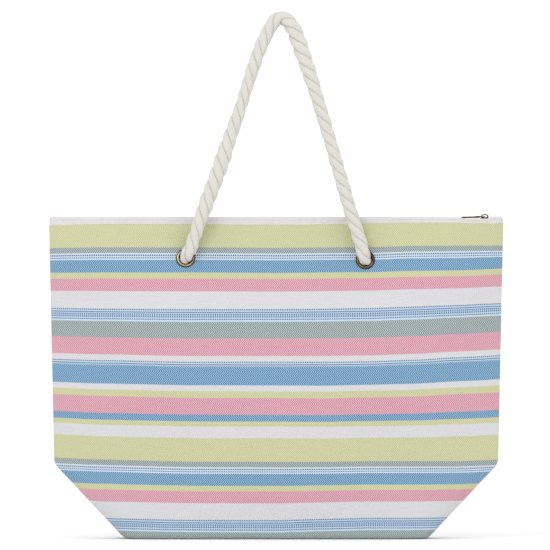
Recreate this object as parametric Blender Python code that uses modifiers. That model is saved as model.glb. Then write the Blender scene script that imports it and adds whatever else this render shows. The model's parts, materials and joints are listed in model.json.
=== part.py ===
"""A zipped beach bag of striped canvas, with two rope handles through brass eyelets.

Metres, +Z up. The origin is the middle of the base, the front faces -Y and the zip runs along X.
"""

import math

import bmesh
import bpy
import numpy as np
from mathutils import Matrix, Vector

# The bag's outline from the front
HEM_Z = 0.395  # top edge of the canvas
TOP_Z = 0.403  # top of the zip, where the width is TOP_HALF_WIDTH
TOP_HALF_WIDTH = 0.285
KNEE_HALF_WIDTH = 0.278
BASE_HALF_WIDTH = 0.189
KNEE_Z = 0.093  # the boxed corners slant from here to the base
KNEE_ROUND = 0.006
FLOOR_ROUND = 0.006

# The bag's outline from the side: (height, half depth, its slope)
DEPTHS = (
    (0.0, 0.0570, 0.0),
    (KNEE_Z, 0.0555, -0.03),
    (0.200, 0.0495, -0.09),
    (0.290, 0.0379, -0.243),
    (HEM_Z, 0.0124, -0.243),
)

# Each level section is depth * (1 - (x / half width) ** power) ** bow: (height, power, bow)
SECTIONS = ((0.0, 8.0, 0.125), (KNEE_Z, 2.7, 0.9), (0.300, 4.0, 1.0), (HEM_Z, 14.0, 1.0))

GAP = 0.0003  # clearance between pieces that touch
CANVAS = 0.0015
COLUMNS = 22  # faces across one panel
LINING = 0.0008
LINING_TOP_Z = 0.380
LINING_FACE_INSET = 0.0021  # from the outside of the canvas to the lining
LINING_SIDE_INSET = 0.009  # the same at the side seams, where the canvas meets at a sharp angle

TAPE = 0.0006
TAPE_HALF_LENGTH = 0.268
TAPE_LOW_Z = 0.3825  # lower edge, sewn inside the hem
TAPE_INSET = 0.0024  # from the outside of the canvas to the tape
TAPE_EDGE_Y = 0.0031  # upper edge, beside the coil
# The tape's rows as (height, share of the way in from the hem to TAPE_EDGE_Y)
TAPE_ROWS = ((TAPE_LOW_Z, 0.0), (HEM_Z, 0.0), (0.3957, 0.22), (0.3998, 1.0))
COIL_RADIUS = 0.00085
COIL_Y = 0.0013
COIL_Z = 0.3996
COIL_HALF_LENGTH = 0.268
STOP_LENGTH = 0.003
STOP_HALF_SIZE = (0.0019, 0.0011)  # across the zip, and up

SLIDER_X = 0.262
SLIDER_LENGTH = 0.011
SLIDER_WIDTH = 0.0086
PLATE = 0.0012
PLATE_TOP_Z = 0.4023
PLATE_LOW_Z = 0.3965
LOW_PLATE_NARROWER = 0.0019  # on each side, where the tapes come down past it
PLATE_BEVEL = 0.0004
WEB_HALF_THICKNESS = 0.00025
WEB = (0.0010, 0.0040)  # from the plates' leading edge to the web's two ends
FLANGE_WIDTH = 0.0007
FLANGE_DROP = 0.0018
CROWN_WIRE = 0.0008
CROWN_HALF_LENGTH = 0.004
CROWN_TOP_Z = 0.4072
PULL_AXIS_Z = 0.4037
PULL_DROOP_DEG = 2.0
PULL_EYE_HALF_WIDTH = 0.0023
PULL_EYE_LENGTH = 0.007
PULL_LENGTH = 0.030
PULL_THICKNESS = 0.0021
# The bar's edge as (distance from the axis, half width), before its round tip
PULL_EDGE = ((0.0064, 0.0019), (0.0160, 0.0017), (0.0240, 0.0015))
PULL_TIP = (0.0020, 0.0014)  # the tip's length and half width
EYE_WIRE = 0.0006

EYELET_X = 0.1135
EYELET_Z = 0.3515
EYELET_INNER = 0.0078
EYELET_OUTER = 0.0121
BARREL_OUTER = 0.0084
STEPS_ROUND = 20

ROPE_RADIUS = 0.008
NECK_RADIUS = 0.0073
PIVOT_FROM_WALL = 0.011  # from the canvas to the point that a handle swings about
APEX_Y = 0.009
# The middle of a handle's rope, from eyelet to eyelet, as (x, z)
HANDLE_ROUTE = (
    (-0.1135, 0.353), (-0.1065, 0.366), (-0.0925, 0.407), (-0.0770, 0.448), (-0.0625, 0.490),
    (-0.0475, 0.533), (-0.0335, 0.577), (-0.0215, 0.612), (-0.0100, 0.637), (-0.0025, 0.6485),
    (0.0065, 0.6535), (0.0155, 0.6485), (0.0230, 0.637), (0.0320, 0.612), (0.0440, 0.577),
    (0.0575, 0.533), (0.0705, 0.490), (0.0825, 0.448), (0.0945, 0.407), (0.1070, 0.366),
    (0.1135, 0.353),
)  # fmt: skip
KNOT_CENTRE_Y = 0.0130
KNOT_CENTRE_Z = 0.326
KNOT_HALF_SIZE = (0.018, 0.0105, 0.017)
TURN_FROM_MIDDLE = 0.0098  # where the rope turns down into its knot
TURN_Z = 0.346
NECK_OUTSIDE = 0.0024  # the neck's ends, measured out and in from the canvas
NECK_INSIDE = 0.0135
TAIL_LENGTH = 0.032
TAIL_LEAN = 0.004
HOLE_REACH = 0.012  # half the length of an eyelet's cutter

SIDES = {"front": -1, "back": 1}
ENDS = {"left": -1, "right": 1}


def clear_scene():
    for obj in list(bpy.data.objects):
        bpy.data.objects.remove(obj, do_unlink=True)


def collection(name, hidden=False):
    made = bpy.data.collections.new(name)
    made.hide_render = hidden
    bpy.context.scene.collection.children.link(made)
    return made


def material(name, colour, roughness, metallic=0.0):
    made = bpy.data.materials.new(name)
    made.use_nodes = True
    shader = made.node_tree.nodes["Principled BSDF"]
    shader.inputs["Base Color"].default_value = (*colour, 1)
    shader.inputs["Roughness"].default_value = roughness
    shader.inputs["Metallic"].default_value = metallic
    made.diffuse_color = (*colour, 1)
    return made


clear_scene()
BAG = collection("beach_bag")
CUTTERS = collection("cutters", hidden=True)
ROOT = bpy.data.objects.new("beach_bag_root", None)
BAG.objects.link(ROOT)

CANVAS_LOOK = material("striped_canvas", (0.62, 0.66, 0.60), 0.9)
LINING_LOOK = material("lining", (0.78, 0.76, 0.70), 0.85)
TAPE_LOOK = material("zip_tape", (0.80, 0.80, 0.80), 0.85)
COIL_LOOK = material("zip_coil", (0.75, 0.75, 0.76), 0.45)
BRASS = material("antique_brass", (0.32, 0.21, 0.09), 0.4, 1.0)
ROPE_LOOK = material("cotton_rope", (0.80, 0.77, 0.68), 0.95)


def place(obj, where):
    """Moves an object into one collection only."""
    for old in list(obj.users_collection):
        old.objects.unlink(obj)
    where.objects.link(obj)
    return obj


def part(obj, name, look):
    """Names an object as a piece of the bag and gives it its finish."""
    obj.name = obj.data.name = name
    obj.data.materials.clear()
    obj.data.materials.append(look)
    obj.parent = ROOT
    return place(obj, BAG)


def cutter(obj):
    obj.hide_render = True
    obj.display_type = "WIRE"
    return place(obj, CUTTERS)


def boolean(obj, other, operation):
    modifier = obj.modifiers.new(f"{operation.lower()} {other.name}", "BOOLEAN")
    modifier.operation = operation
    modifier.object = other
    modifier.solver = "EXACT"


def fuse(obj, *others):
    for other in others:
        boolean(obj, cutter(other), "UNION")


def solidify(obj, thickness):
    modifier = obj.modifiers.new("thickness", "SOLIDIFY")
    modifier.thickness = thickness
    modifier.offset = -1
    modifier.use_even_offset = True


def smooth_shade(mesh, sharp_deg=40):
    mesh.shade_smooth()
    mesh.set_sharp_from_angle(angle=math.radians(sharp_deg))


def mesh_object(name, build):
    """An object whose mesh the function build fills in."""
    mesh = bpy.data.meshes.new(name)
    shape = bmesh.new()
    build(shape)
    shape.to_mesh(mesh)
    shape.free()
    obj = bpy.data.objects.new(name, mesh)
    bpy.context.scene.collection.objects.link(obj)
    return obj


def block(name, low, high, bevel=0.0):
    """A box between two corners."""
    size = Vector(high) - Vector(low)

    def build(shape):
        bmesh.ops.create_cube(shape, size=1.0, matrix=Matrix.Diagonal((*size, 1)))

    obj = mesh_object(name, build)
    obj.location = (Vector(low) + Vector(high)) / 2
    if bevel:
        modifier = obj.modifiers.new("edges", "BEVEL")
        modifier.width = bevel
        modifier.segments = 1
    return obj


def rod(name, radius, start, end, vertices=16):
    """A cylinder between two points."""
    start, end = Vector(start), Vector(end)

    def build(shape):
        length = (end - start).length
        bmesh.ops.create_cone(
            shape, cap_ends=True, segments=vertices, radius1=radius, radius2=radius, depth=length
        )

    obj = mesh_object(name, build)
    obj.location = (start + end) / 2
    obj.rotation_euler = (end - start).to_track_quat("Z", "Y").to_euler()
    return obj


def ball(name, centre, half_sizes, segments=12):
    def build(shape):
        bmesh.ops.create_uvsphere(
            shape,
            u_segments=segments,
            v_segments=segments // 2,
            radius=1.0,
            matrix=Matrix.Diagonal((*half_sizes, 1)),
        )

    obj = mesh_object(name, build)
    obj.location = centre
    return obj


def wire(name, points, radius, radii=None, cyclic=False, resolution=2):
    """A round wire along the points, as a curve with filled caps."""
    curve = bpy.data.curves.new(name, "CURVE")
    curve.dimensions = "3D"
    curve.bevel_depth = radius
    curve.bevel_resolution = resolution
    curve.use_fill_caps = True
    spline = curve.splines.new("POLY")
    spline.points.add(len(points) - 1)
    for i, point in enumerate(points):
        spline.points[i].co = (*point, 1)
        spline.points[i].radius = 1.0 if radii is None else radii[i]
    spline.use_cyclic_u = cyclic
    obj = bpy.data.objects.new(name, curve)
    bpy.context.scene.collection.objects.link(obj)
    return obj


def as_mesh(curve_obj):
    """The same shape as a mesh with welded caps, in the curve's place."""
    bpy.context.view_layer.update()
    graph = bpy.context.evaluated_depsgraph_get()
    mesh = bpy.data.meshes.new_from_object(curve_obj.evaluated_get(graph))
    shape = bmesh.new()
    shape.from_mesh(mesh)
    bmesh.ops.remove_doubles(shape, verts=shape.verts, dist=1e-6)
    bmesh.ops.recalc_face_normals(shape, faces=shape.faces)
    shape.to_mesh(mesh)
    shape.free()
    obj = bpy.data.objects.new(curve_obj.name, mesh)
    bpy.context.scene.collection.objects.link(obj)
    obj.matrix_world = curve_obj.matrix_world
    bpy.data.objects.remove(curve_obj, do_unlink=True)
    return obj


def turned(name, profile, steps=STEPS_ROUND):
    """A ring turned about its own Z from a closed profile of (radius, height), down its outer side first."""
    mesh = bpy.data.meshes.new(name)
    count = len(profile)
    mesh.from_pydata([(r, 0, h) for r, h in profile], [(i, (i + 1) % count) for i in range(count)], [])
    obj = bpy.data.objects.new(name, mesh)
    bpy.context.scene.collection.objects.link(obj)
    screw = obj.modifiers.new("turn", "SCREW")
    screw.axis = "Z"
    screw.steps = screw.render_steps = steps
    screw.use_merge_vertices = True
    screw.merge_threshold = 0.00001
    screw.use_smooth_shade = True
    return obj


# The surface of the bag


def half_width(z):
    """Half the outline's width, with the knee rounded off."""
    upper = KNEE_HALF_WIDTH + (TOP_HALF_WIDTH - KNEE_HALF_WIDTH) * (z - KNEE_Z) / (TOP_Z - KNEE_Z)
    corner = BASE_HALF_WIDTH + (KNEE_HALF_WIDTH - BASE_HALF_WIDTH) * z / KNEE_Z
    near = max(KNEE_ROUND - abs(upper - corner), 0) / KNEE_ROUND
    return min(upper, corner) - near * near * KNEE_ROUND / 4


def half_depth(z):
    """Half the outline's depth: a smooth curve through DEPTHS."""
    for (z0, d0, slope0), (z1, d1, slope1) in zip(DEPTHS, DEPTHS[1:]):
        if z <= z1:
            break
    span = z1 - z0
    t = min(max((z - z0) / span, 0), 1)
    return (
        (2 * t**3 - 3 * t**2 + 1) * d0
        + (t**3 - 2 * t**2 + t) * span * slope0
        + (3 * t**2 - 2 * t**3) * d1
        + (t**3 - t**2) * span * slope1
    )


def powers(z):
    heights = [row[0] for row in SECTIONS]
    return (float(np.interp(z, heights, [row[k] for row in SECTIONS])) for k in (1, 2))


def wall_y(x, z):
    """The front's outside at a place on it."""
    power, bow = powers(z)
    return -half_depth(z) * max(1 - abs(x / half_width(z)) ** power, 0) ** bow


def wall_normal(x, z):
    """The direction out of the front at a place on it."""
    step = 0.002
    across = (wall_y(x + step, z) - wall_y(x - step, z)) / (2 * step)
    up = (wall_y(x, z + step) - wall_y(x, z - step)) / (2 * step)
    return Vector((across, -1, up)).normalized()


def outline(z, floor=0.0, side=0.0, face=0.0):
    """The level section at z, anticlockwise from its left seam, as evenly spaced (x, y) points.

    floor is the height of the shell's underside, and side and face are how far it lies inside the outer one.
    """
    above = min(z - floor, FLOOR_ROUND)
    round_off = FLOOR_ROUND - math.sqrt(FLOOR_ROUND**2 - (FLOOR_ROUND - above) ** 2)
    width = half_width(z) - side - round_off
    depth = half_depth(z) - face - round_off
    power, bow = powers(z)
    even = np.linspace(0, 1, 300)
    u = np.sort(np.concatenate([even, (1 - even ** (1 / bow)) ** (1 / power)]))
    x, y = width * u, -depth * (1 - u**power) ** bow
    run = np.concatenate([[0], np.cumsum(np.hypot(np.diff(x), np.diff(y)))])
    at = np.linspace(0, run[-1], COLUMNS // 2 + 1)
    x, y = np.interp(at, run, x), np.interp(at, run, y)
    front = [*zip(-x[:0:-1], y[:0:-1]), *zip(x, y)]
    back = [(px, -py) for px, py in reversed(front[1:-1])]
    return front + back


def shell(name, heights, **inset):
    """An open bag: a loft through level sections, closed below by its flat base."""
    rings = [[(x, y, z) for x, y in outline(z, **inset)] for z in heights]

    def build(shape):
        rows = [[shape.verts.new(point) for point in ring] for ring in rings]
        shape.faces.new(reversed(rows[0]))
        for low, high in zip(rows, rows[1:]):
            for i in range(len(low)):
                j = (i + 1) % len(low)
                shape.faces.new((low[i], low[j], high[j], high[i]))

    return mesh_object(name, build)


def panels(name, look, thickness, heights, **inset):
    """A shell cut in two along its side seams and its bottom seam, with a hole at each eyelet."""
    for side in SIDES:
        obj = part(shell(name, heights, **inset), f"{name}_{side}", look)
        solidify(obj, thickness)
        for end in ENDS:
            boolean(obj, HOLES[side, end], "DIFFERENCE")
        boolean(obj, HALF_SPACES[side], "INTERSECT")
        smooth_shade(obj.data)


def eyelet_frame(side, end):
    """(centre of the eyelet on the canvas, direction out of the bag)."""
    x = ENDS[end] * EYELET_X
    centre = Vector((x, wall_y(x, EYELET_Z), EYELET_Z))
    normal = wall_normal(x, EYELET_Z)
    if side == "back":
        centre.y, normal.y = -centre.y, -normal.y
    return centre, normal


HALF_SPACES, HOLES = {}, {}


def make_cutters():
    """Half spaces either side of the seams, and the eyelets' holes."""
    reach, low, high = 0.35, -0.05, 0.5
    for side, sign in SIDES.items():
        near, far = sorted((sign * GAP / 2, sign * reach))
        HALF_SPACES[side] = cutter(block(f"half_{side}", (-reach, near, low), (reach, far, high)))
        for end in ENDS:
            centre, normal = eyelet_frame(side, end)
            reach_out = HOLE_REACH * normal
            hole = rod(f"hole_{side}_{end}", BARREL_OUTER + GAP, centre - reach_out, centre + reach_out, 24)
            HOLES[side, end] = cutter(hole)


def canvas_and_lining():
    floor_rows = [FLOOR_ROUND * (1 - math.cos(a)) for a in np.radians((0, 50, 90))]
    corner_rows = [0.030, 0.060, 0.084, KNEE_Z, 0.102]
    wall_rows = np.linspace(0.140, 0.368, 5)
    panels("outer", CANVAS_LOOK, CANVAS, [*floor_rows, *corner_rows, *wall_rows, HEM_Z])
    low = LINING_FACE_INSET
    floor_rows = [low, low + FLOOR_ROUND / 3, low + FLOOR_ROUND]
    inset = {"floor": low, "side": LINING_SIDE_INSET, "face": LINING_FACE_INSET}
    panels("lining", LINING_LOOK, LINING, [*floor_rows, *corner_rows, *wall_rows, LINING_TOP_Z], **inset)


def zip_tape(side, sign):
    """A tape from inside the hem up to the coil, as a strip that bends over like a roof."""
    xs = np.linspace(-TAPE_HALF_LENGTH, TAPE_HALF_LENGTH, 25)
    rows = []
    for z, share in TAPE_ROWS:
        canvas_x, canvas_y = zip(*outline(min(z, HEM_Z))[: COLUMNS + 1])
        canvas = -np.interp(xs, canvas_x, canvas_y)
        inside = canvas - TAPE_INSET * np.hypot(1, np.gradient(canvas, xs))
        rows.append([(x, sign * y, z) for x, y in zip(xs, (1 - share) * inside + share * TAPE_EDGE_Y)])

    def build(shape):
        grid = [[shape.verts.new(point) for point in row] for row in rows]
        for low, high in zip(grid, grid[1:]):
            for i in range(len(low) - 1):
                corners = (low[i], low[i + 1], high[i + 1], high[i])
                shape.faces.new(corners if sign < 0 else reversed(corners))

    obj = part(mesh_object("tape", build), f"zip_tape_{side}", TAPE_LOOK)
    solidify(obj, TAPE)
    smooth_shade(obj.data)


def zip_chain():
    for side, sign in SIDES.items():
        zip_tape(side, sign)
        ends = [(end * COIL_HALF_LENGTH, sign * COIL_Y, COIL_Z) for end in (-1, 1)]
        part(wire("coil", ends, COIL_RADIUS), f"zip_coil_{side}", COIL_LOOK)
    for name, sign in (("zip_stop_closed", 1), ("zip_stop_open", -1)):
        near, far = sorted((sign * (COIL_HALF_LENGTH + GAP), sign * (COIL_HALF_LENGTH + GAP + STOP_LENGTH)))
        wide, high = STOP_HALF_SIZE
        stop = block(name, (near, -wide, COIL_Z - high), (far, wide, COIL_Z + high), PLATE_BEVEL)
        part(stop, name, BRASS)


def zip_slider():
    """Two plates that a web joins through the slot between the coils, and the crown that holds the pull."""
    half, wide, middle = SLIDER_LENGTH / 2, SLIDER_WIDTH / 2, PLATE_TOP_Z - PLATE / 2
    low, narrow, thin = PLATE_LOW_Z - middle, wide - LOW_PLATE_NARROWER, WEB_HALF_THICKNESS
    top = block("plate", (-half, -wide, -PLATE / 2), (half, wide, PLATE / 2), PLATE_BEVEL)
    pieces = [
        block("low_plate", (-half, -narrow, low), (half, narrow, low + PLATE), PLATE_BEVEL),
        block("web", (half - WEB[1], -thin, low + PLATE / 2), (half - WEB[0], thin, 0)),
    ]
    reach = half - GAP
    for y in (-wide, wide - FLANGE_WIDTH):
        pieces.append(block("flange", (-reach, y, -FLANGE_DROP), (reach, y + FLANGE_WIDTH, 0)))
    height = CROWN_TOP_Z - CROWN_WIRE - middle
    turns = np.linspace(0, math.pi, 11)
    arch = [(CROWN_HALF_LENGTH * math.cos(a), 0, height * math.sin(a) ** 0.6) for a in turns]
    pieces.append(as_mesh(wire("crown", arch, CROWN_WIRE)))
    obj = part(top, "zip_slider", BRASS)
    obj.location = (SLIDER_X, 0, middle)
    for piece in pieces:
        piece.parent = obj
    fuse(obj, *pieces)


def zip_pull():
    """An eye through the crown and a slim bar that narrows to its tip. Its origin is on the hinge's axis."""
    wide, long = PULL_EYE_HALF_WIDTH, PULL_EYE_LENGTH
    inner = wide * 0.8
    loop = [(0, -wide, 0), (0, wide, 0), (-long, inner, 0), (-long, -inner, 0)]
    eye = as_mesh(wire("eye", loop, EYE_WIRE, cyclic=True))
    tip_length, tip_width = PULL_TIP
    tip_start = PULL_LENGTH - tip_length
    tip = [
        (-tip_start - tip_length * math.sin(a), tip_width * math.cos(a)) for a in np.radians((0, 35, 65, 90))
    ]
    half = [(-x, y) for x, y in PULL_EDGE] + tip
    closed = half + [(x, -y) for x, y in reversed(half[:-1])]
    curve = bpy.data.curves.new("bar", "CURVE")
    curve.dimensions = "2D"
    curve.fill_mode = "BOTH"
    curve.extrude = PULL_THICKNESS / 2
    spline = curve.splines.new("POLY")
    spline.points.add(len(closed) - 1)
    for point, (x, y) in zip(spline.points, closed):
        point.co = (x, y, 0, 1)
    spline.use_cyclic_u = True
    bar = bpy.data.objects.new("bar", curve)
    bpy.context.scene.collection.objects.link(bar)
    obj = part(as_mesh(bar), "zip_pull", BRASS)
    fuse(obj, eye)
    obj.location = (SLIDER_X, 0, PULL_AXIS_Z)
    obj.rotation_euler.y = -math.radians(PULL_DROOP_DEG)
    eye.parent = obj


def eyelets():
    flange = [
        (0.0098, 0.0020), (0.0112, 0.0017), (EYELET_OUTER, 0.0009), (EYELET_OUTER, 0.00035),
        (BARREL_OUTER, 0.00035), (BARREL_OUTER, -0.0043), (0.0096, -0.0044), (0.0093, -0.0050),
        (0.0083, -0.0050), (EYELET_INNER, -0.0045), (EYELET_INNER, 0.0009), (0.0085, 0.0017),
    ]  # fmt: skip
    ring = [(0.0116, -0.0032), (0.0116, -0.0040), (0.0088, -0.0040), (0.0088, -0.0032)]
    for side in SIDES:
        for end in ENDS:
            centre, normal = eyelet_frame(side, end)
            for name, profile in (("eyelet", flange), ("washer", ring)):
                obj = part(turned(name, profile), f"{name}_{side}_{end}", BRASS)
                obj.location = centre
                obj.rotation_euler = normal.to_track_quat("Z", "Y").to_euler()


def smooth_line(points, steps):
    """A smooth curve through the points, with that many pieces between each two."""
    p = np.array(points)
    p = np.vstack([2 * p[0] - p[1], p, 2 * p[-1] - p[-2]])
    made = []
    for a, b, c, d in zip(p, p[1:], p[2:], p[3:]):
        for t in np.linspace(0, 1, steps, endpoint=False):
            square, cube = 2 * a - 5 * b + 4 * c - d, 3 * b - a - 3 * c + d
            made.append(0.5 * (2 * b + (c - a) * t + square * t**2 + cube * t**3))
    return np.array([*made, p[-2]])


def pivot_point():
    centre, _ = eyelet_frame("front", "left")
    return Vector((0, centre.y - PIVOT_FROM_WALL, HANDLE_ROUTE[0][1]))


def handle(side, sign):
    """A rope arch with ball ends, so that it swings about the line through both ends and touches nothing."""
    pivot = pivot_point()
    top = max(z for _, z in HANDLE_ROUTE)
    lean = (abs(pivot.y) - APEX_Y) / (top - pivot.z)
    route = [(x, sign * (abs(pivot.y) - lean * (z - pivot.z)), z) for x, z in HANDLE_ROUTE]
    line = smooth_line(route, 2)
    origin = np.array([0, sign * abs(pivot.y), pivot.z])
    line = line - origin
    radii = [1.0] * len(line)
    turns = np.radians((35, 65, 88))
    for at, inner in ((0, 1), (-1, -2)):
        out = line[at] - line[inner]
        out = out / np.linalg.norm(out)
        caps = [line[at] + out * ROPE_RADIUS * math.sin(a) for a in turns]
        narrow = [math.cos(a) for a in turns]
        if at == 0:
            start_caps, start_radii = caps[::-1], narrow[::-1]
        else:
            line = np.vstack([start_caps, line, caps])
            radii = start_radii + radii + narrow
    obj = part(wire("rope", line, ROPE_RADIUS, radii, resolution=3), f"handle_{side}", ROPE_LOOK)
    obj.location = origin
    return obj


def knot(side, sign, end):
    """A rope's end: its neck through the eyelet, and the knot and tail that keep it there."""
    centre, normal = eyelet_frame(side, end)
    x = centre.x
    neck = rod("neck", NECK_RADIUS, centre - NECK_INSIDE * normal, centre + NECK_OUTSIDE * normal)
    turn = ball("turn", (x, sign * TURN_FROM_MIDDLE, TURN_Z), (NECK_RADIUS,) * 3)
    body = ball("knot", (x, sign * KNOT_CENTRE_Y, KNOT_CENTRE_Z), KNOT_HALF_SIZE)
    tail_top = Vector((x, sign * KNOT_CENTRE_Y, KNOT_CENTRE_Z))
    tail = rod("tail", NECK_RADIUS, tail_top, tail_top + Vector((TAIL_LEAN, 0, -TAIL_LENGTH)), 12)
    obj = part(body, f"knot_{side}_{end}", ROPE_LOOK)
    fuse(obj, turn, neck, tail)
    smooth_shade(obj.data)


make_cutters()
canvas_and_lining()
zip_chain()
zip_slider()
zip_pull()
eyelets()
for side_name, side_sign in SIDES.items():
    handle(side_name, side_sign)
    for end_name in ENDS:
        knot(side_name, side_sign, end_name)
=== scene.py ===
"""The looks of a zipped beach bag: striped canvas, laid rope handles, brass eyelets and a coil zip."""

import json
import math

import bpy
import numpy as np
from mathutils import Matrix, Vector


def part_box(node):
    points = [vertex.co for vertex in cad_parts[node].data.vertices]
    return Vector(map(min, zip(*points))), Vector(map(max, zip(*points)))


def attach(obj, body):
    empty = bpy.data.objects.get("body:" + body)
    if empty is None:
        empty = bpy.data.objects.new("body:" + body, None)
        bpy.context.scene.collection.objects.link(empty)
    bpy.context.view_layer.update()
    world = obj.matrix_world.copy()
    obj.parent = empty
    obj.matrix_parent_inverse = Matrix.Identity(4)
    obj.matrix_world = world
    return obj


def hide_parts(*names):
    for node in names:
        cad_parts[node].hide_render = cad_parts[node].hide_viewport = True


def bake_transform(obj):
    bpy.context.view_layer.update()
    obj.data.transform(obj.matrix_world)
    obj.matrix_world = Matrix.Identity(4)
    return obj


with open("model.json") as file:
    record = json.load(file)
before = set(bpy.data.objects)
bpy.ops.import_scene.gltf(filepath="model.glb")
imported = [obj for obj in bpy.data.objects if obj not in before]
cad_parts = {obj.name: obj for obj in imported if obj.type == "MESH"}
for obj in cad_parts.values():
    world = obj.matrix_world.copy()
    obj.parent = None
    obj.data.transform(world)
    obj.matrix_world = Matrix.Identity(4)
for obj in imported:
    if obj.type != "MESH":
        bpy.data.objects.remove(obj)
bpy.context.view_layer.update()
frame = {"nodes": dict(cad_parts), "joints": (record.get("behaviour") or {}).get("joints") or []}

MM = 0.001
SIDES = {"front": -1, "back": 1}
ENDS = {"left": -1, "right": 1}
SEED = 7

# The bag's shell, in the CAD solid's own box
SHELL_LOW, SHELL_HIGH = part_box("outer_front")
HEM_Z = SHELL_HIGH.z
HEM_HALF_WIDTH = SHELL_HIGH.x
BASE_HALF_DEPTH = -SHELL_LOW.y
KNEE_Z = 0.093
KNEE_HALF_WIDTH = 0.278
BASE_HALF_WIDTH = 0.189
KNEE_ROUND = 0.006
FLOOR_ROUND = 0.006
# (height, half depth, its slope), and (height, power, bow) of each level section
DEPTHS = (
    (0.0, BASE_HALF_DEPTH, 0.0), (KNEE_Z, 0.0555, -0.03), (0.200, 0.0495, -0.09),
    (0.290, 0.0379, -0.243), (HEM_Z, 0.0124, -0.243),
)  # fmt: skip
SECTIONS = ((0.0, 8.0, 0.125), (KNEE_Z, 2.7, 0.9), (0.300, 4.0, 1.0), (HEM_Z, 14.0, 1.0))
COLUMNS = 190  # faces across one panel
SECTION_SAMPLES = 400
CANVAS = 0.9 * MM
LINING = 0.7 * MM
# How far a panel's outer and inner face stay on their own side of the middle
OWN_SIDE, INNER_SIDE = 0.15 * MM, 0.1 * MM

# Where the zip and the eyelets are
SLIDER_LOW, SLIDER_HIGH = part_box("zip_slider")
SLIDER_X = (SLIDER_LOW.x + SLIDER_HIGH.x) / 2
COIL_LOW, COIL_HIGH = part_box("zip_coil_front")
COIL_Z = (COIL_LOW.z + COIL_HIGH.z) / 2
COIL_HALF_LENGTH = COIL_HIGH.x
EYELET_X = 0.1135
EYELET_Z = 0.3515
# Where the cloth carries an eyelet, across and up from its nominal place
EYELET_SHIFT = {"left": (0.0, 0.0), "right": (-0.0017, -0.0022)}
HEM_FOLD = 1.0 * MM  # radius of the fold over the top
WIDER = 1.9 * MM  # the loose cloth's reach past the CAD solid's seam on each side


# The surface of the bag


def half_width(z):
    """From the middle to a side seam: a slanted corner below and the wall above, a little rounded between."""
    upper = KNEE_HALF_WIDTH + (HEM_HALF_WIDTH - KNEE_HALF_WIDTH) * (z - KNEE_Z) / (HEM_Z - KNEE_Z)
    corner = BASE_HALF_WIDTH + (KNEE_HALF_WIDTH - BASE_HALF_WIDTH) * z / KNEE_Z
    near = max(KNEE_ROUND - abs(upper - corner), 0) / KNEE_ROUND
    return min(upper, corner) - near * near * KNEE_ROUND / 4


def half_depth(z):
    """From the middle to a panel, on a smooth curve through DEPTHS."""
    for (z0, d0, slope0), (z1, d1, slope1) in zip(DEPTHS, DEPTHS[1:]):
        if z <= z1:
            break
    span = z1 - z0
    t = min(max((z - z0) / span, 0), 1)
    return (
        (2 * t**3 - 3 * t**2 + 1) * d0
        + (t**3 - 2 * t**2 + t) * span * slope0
        + (3 * t**2 - 2 * t**3) * d1
        + (t**3 - t**2) * span * slope1
    )


def powers(z):
    """The power and the bow of the level section at z."""
    heights = [row[0] for row in SECTIONS]
    return (float(np.interp(z, heights, [row[k] for row in SECTIONS])) for k in (1, 2))


def wall_y(x, z):
    """The front's outside at a place on it."""
    power, bow = powers(z)
    return -half_depth(z) * max(1 - abs(x / half_width(z)) ** power, 0) ** bow


def level_section(z, side=0.0, face=0.0):
    """The front half of the level section at z, evenly spaced from the left seam to the right one: x, y and
    the distance along it from its middle."""
    above = min(z, FLOOR_ROUND)
    round_off = FLOOR_ROUND - math.sqrt(FLOOR_ROUND**2 - (FLOOR_ROUND - above) ** 2)
    width, depth = half_width(z) - side - round_off, half_depth(z) - face - round_off
    power, bow = powers(z)
    even = np.linspace(0, 1, SECTION_SAMPLES)
    u = np.sort(np.concatenate([even, (1 - even ** (1 / bow)) ** (1 / power)]))
    x, y = width * u, -depth * (1 - u**power) ** bow
    run = np.concatenate([[0], np.cumsum(np.hypot(np.diff(x), np.diff(y)))])
    at = np.linspace(-run[-1], run[-1], COLUMNS + 1)
    return np.sign(at) * np.interp(np.abs(at), run, x), np.interp(np.abs(at), run, y), at


def eyelet_frame(side, end):
    """(centre of the eyelet on the canvas, direction out of the bag), from the CAD ring's box."""
    low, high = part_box(f"eyelet_{side}_{end}")
    x, z = (low.x + high.x) / 2 + EYELET_SHIFT[end][0], EYELET_Z + EYELET_SHIFT[end][1]
    step = 2 * MM
    across = (wall_y(x + step, z) - wall_y(x - step, z)) / (2 * step)
    up = (wall_y(x, z + step) - wall_y(x, z - step)) / (2 * step)
    normal = Vector((across, -1, up)).normalized()
    centre = Vector((x, wall_y(x, z), z))
    if side == "back":
        centre.y, normal.y = -centre.y, -normal.y
    return centre, normal


# Materials

SCENE_LIGHT = 1.20  # what a white surface facing the camera sends back, over what it takes in


def linear(rgb):
    """An sRGB colour from 0 to 255 as linear light."""
    c = np.array(rgb, float) / 255
    return tuple(np.where(c <= 0.04045, c / 12.92, ((c + 0.055) / 1.055) ** 2.4))


def dye(rgb):
    """The base colour that shows as this sRGB colour in the scene's light."""
    return tuple(min(c / SCENE_LIGHT, 0.95) for c in linear(rgb))


class Value:
    """A number that a material works out at each point. It takes part in sums like any other number."""

    def __init__(self, look, socket):
        self.look, self.socket = look, socket

    def __add__(self, other):
        return self.look.sum("ADD", self, other)

    def __sub__(self, other):
        return self.look.sum("SUBTRACT", self, other)

    def __rsub__(self, other):
        return self.look.sum("SUBTRACT", other, self)

    def __mul__(self, other):
        return self.look.sum("MULTIPLY", self, other)

    def __truediv__(self, other):
        return self.look.sum("DIVIDE", self, other)


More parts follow.
